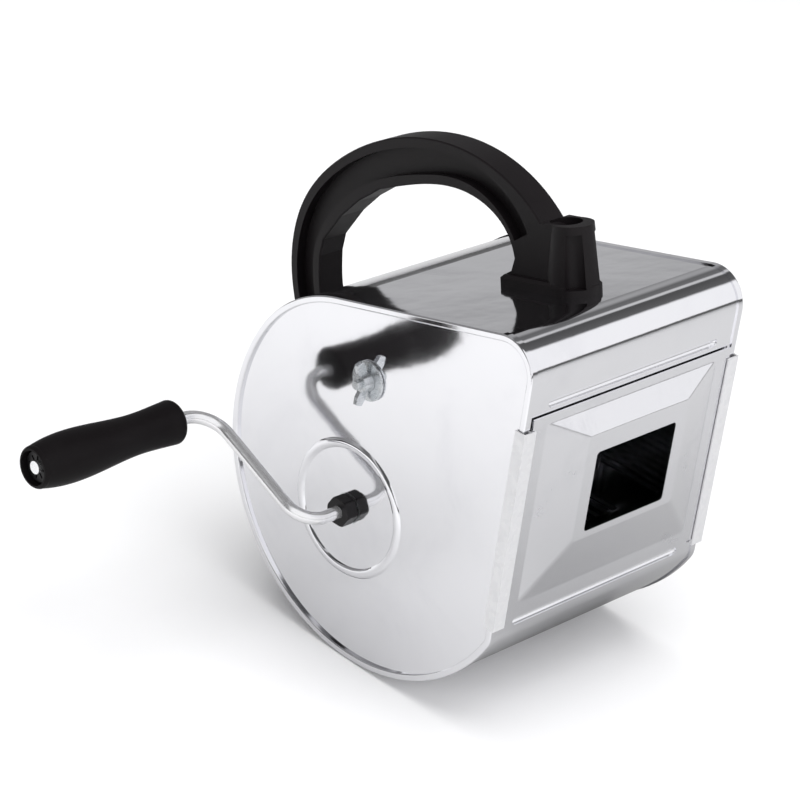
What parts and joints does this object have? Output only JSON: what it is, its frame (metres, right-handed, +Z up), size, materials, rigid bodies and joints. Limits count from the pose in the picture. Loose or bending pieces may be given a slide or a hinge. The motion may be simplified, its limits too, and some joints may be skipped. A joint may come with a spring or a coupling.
{
  "type": "hand-cranked roughcast machine",
  "caption": "Folded steel box with a hand crank, an inner tine rotor, a sliding mouth plate and a carry handle, for flicking wet mortar onto a wall.",
  "frame": {"origin": "middle of the carry handle's grip, above the box at mid-width", "axes": "+Z up; the mouth plate faces -Y; the crank is on the -X side, and the spindle runs along X"},
  "size_m": [0.3695, 0.2899, 0.3099],
  "materials": {
    "mirror_steel": "mirror-polished stainless sheet",
    "plate_steel": "satin stainless sheet, pressed",
    "galvanised": "matt galvanised sheet",
    "black_plastic": "satin moulded nylon",
    "grip_plastic": "satin turned plastic",
    "zinc": "bright zinc plate",
    "bright_bar": "bright zinc-plated round bar",
    "black_oxide": "black oxide",
    "spring_steel": "blued spring steel"
  },
  "bodies": {
    "housing": {"mantle": "mirror_steel", "crank_side_cheek": "mirror_steel", "far_side_cheek": "mirror_steel", "crank_side_guide": "galvanised", "far_side_guide": "galvanised", "crank_side_bush": "zinc", "far_side_bush": "zinc", "carry_handle": "black_plastic", "handle_front_bolt": "zinc", "handle_rear_bolt": "zinc", "handle_washers": "zinc", "handle_nuts": "zinc"},
    "mouth": {"mouth_plate": "plate_steel"},
    "rotor": {"spindle": "bright_bar", "rotor_core": "zinc", "clamp_screws": "zinc", "crank_side_collar": "zinc", "far_side_collar": "zinc", "collar_screws": "black_oxide", "thrust_washer": "zinc", "circlip": "black_oxide", "crank_nut": "black_oxide", "nut_grub_screw": "black_oxide", "crank_rod": "bright_bar", "push_nut": "black_oxide", "tine_comb_1": "spring_steel", "tine_comb_2": "spring_steel", "tine_comb_3": "spring_steel", "tine_comb_4": "spring_steel", "clamp_strip_1": "zinc", "clamp_strip_2": "zinc", "clamp_strip_3": "zinc", "clamp_strip_4": "zinc"},
    "crank_handle": {"grip": "grip_plastic"},
    "bar": {"flicker_bar": "zinc"},
    "crank_side_washer_body": {"crank_side_washer": "zinc"},
    "far_side_washer_body": {"far_side_washer": "zinc"},
    "crank_side_wing_body": {"crank_side_wing_nut": "zinc"},
    "far_side_wing_body": {"far_side_wing_nut": "zinc"}
  },
  "joints": [
    {"name": "crank_turn", "type": "hinge", "parent": "housing", "child": "rotor", "pos_m": [0, -0.02, -0.1985], "axis": [1, 0, 0], "continuous": true},
    {"name": "grip_spin", "type": "hinge", "parent": "rotor", "child": "crank_handle", "pos_m": [-0.2112, 0.07105, -0.16226], "axis": [1, 0, 0], "continuous": true},
    {"name": "mouth_plate_slide", "type": "slide", "parent": "housing", "child": "mouth", "axis": [0, 0, 1], "range_m": [0, 0.11]},
    {"name": "flicker_bar_adjust", "type": "slide", "parent": "housing", "child": "bar", "axis": [0, 0, -1], "range_m": [0, 0.006]},
    {"name": "crank_side_washer_slide", "type": "slide", "parent": "bar", "child": "crank_side_washer_body", "axis": [-1, 0, 0], "range_m": [0, 0.002]},
    {"name": "far_side_washer_slide", "type": "slide", "parent": "bar", "child": "far_side_washer_body", "axis": [1, 0, 0], "range_m": [0, 0.002]},
    {"name": "crank_side_wing_turn", "type": "hinge", "parent": "crank_side_washer_body", "child": "crank_side_wing_body", "pos_m": [-0.1, -0.0232, -0.1095], "axis": [-1, 0, 0], "range_deg": [0, 720]},
    {"name": "far_side_wing_turn", "type": "hinge", "parent": "far_side_washer_body", "child": "far_side_wing_body", "pos_m": [0.1, -0.0232, -0.1095], "axis": [1, 0, 0], "range_deg": [0, 720]}
  ],
  "couplings": [
    {"joint": "crank_side_washer_slide", "follows": "crank_side_wing_turn", "m_per_rad": 0.000159},
    {"joint": "far_side_washer_slide", "follows": "far_side_wing_turn", "m_per_rad": 0.000159}
  ]
}
